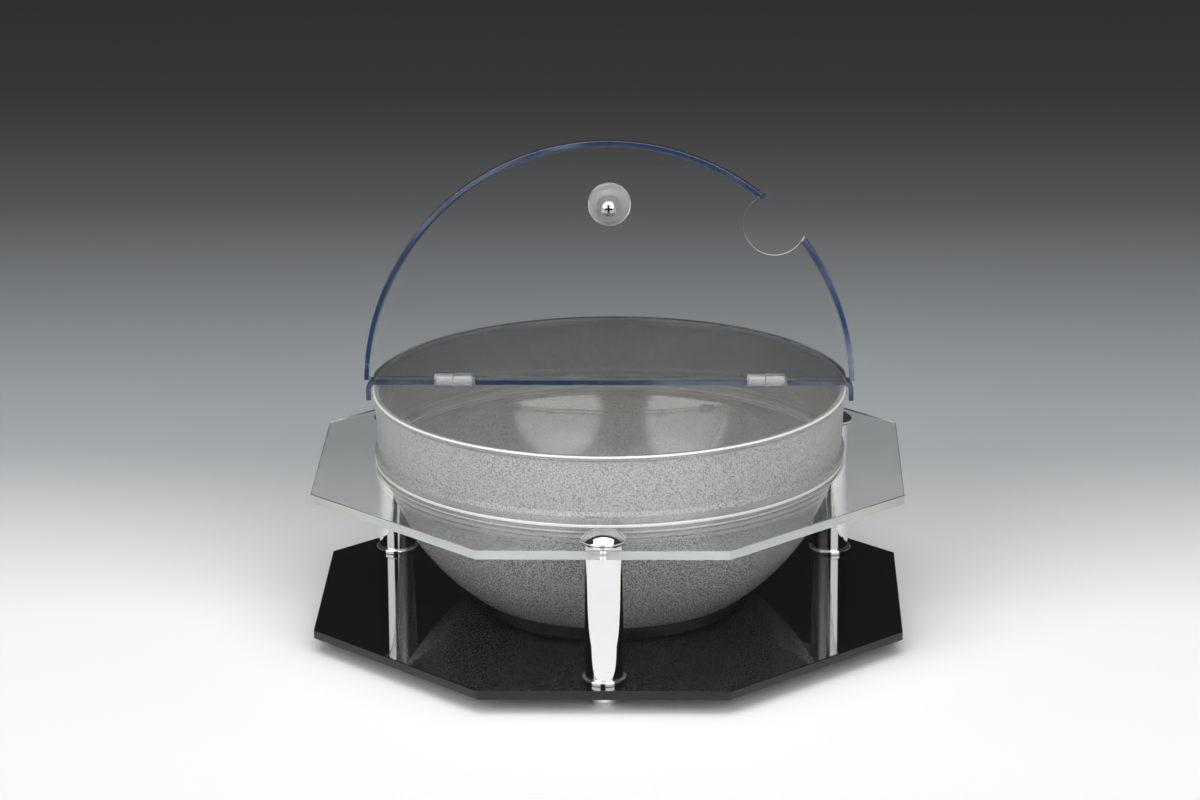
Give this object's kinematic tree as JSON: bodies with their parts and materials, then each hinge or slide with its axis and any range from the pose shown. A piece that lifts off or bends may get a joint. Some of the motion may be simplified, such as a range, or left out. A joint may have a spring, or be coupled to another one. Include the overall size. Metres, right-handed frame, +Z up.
{
  "type": "covered display stand",
  "caption": "Table-top stand: a clear pebbled bowl hangs in an octagonal ring plate on chrome posts over a black base, under a clear split lid on barrel hinges.",
  "frame": {"origin": "on the table, under the centre of the octagonal plates", "axes": "+Z up, the front with its single post faces -Y, +X to the right seen from the front"},
  "size_m": [0.375, 0.375, 0.3164],
  "materials": {
    "black_acrylic": "polished",
    "clear_acrylic": "clear, polished",
    "bowl_plastic": "clear, pebbled outside, smooth inside",
    "chrome": "bright plated",
    "steel": "zinc plated",
    "bush_plastic": "moulded"
  },
  "bodies": {
    "stand": {"base_plate": "black_acrylic", "ring_plate": "clear_acrylic", "front_foot": "chrome", "front_post_ring": "chrome", "front_post_tube": "chrome", "front_post_bush": "bush_plastic", "front_post_rod": "steel", "front_post_cap": "chrome", "right_foot": "chrome", "right_post_ring": "chrome", "right_post_tube": "chrome", "right_post_bush": "bush_plastic", "right_post_rod": "steel", "right_post_cap": "chrome", "left_foot": "chrome", "left_post_ring": "chrome", "left_post_tube": "chrome", "left_post_bush": "bush_plastic", "left_post_rod": "steel", "left_post_cap": "chrome"},
    "bowl": {"bowl": "bowl_plastic"},
    "rear_lid": {"rear_lid_leaf": "clear_acrylic", "left_hinge_rear_knuckle": "clear_acrylic", "right_hinge_rear_knuckle": "clear_acrylic", "left_hinge_pin": "clear_acrylic", "right_hinge_pin": "clear_acrylic"},
    "front_lid": {"front_lid_leaf": "clear_acrylic", "left_hinge_front_knuckle": "clear_acrylic", "right_hinge_front_knuckle": "clear_acrylic", "lid_knob": "clear_acrylic", "knob_screw": "steel"}
  },
  "joints": [
    {"name": "bowl_lift", "type": "slide", "parent": "stand", "child": "bowl", "axis": [0, 0, 1], "range_m": [0, 0.15]},
    {"name": "lid_lift", "type": "slide", "parent": "bowl", "child": "rear_lid", "axis": [0, 0, 1], "range_m": [0, 0.1]},
    {"name": "lid_swing", "type": "hinge", "parent": "rear_lid", "child": "front_lid", "pos_m": [0, 0, 0.15885], "axis": [1, 0, 0], "range_deg": [0, 96]}
  ]
}
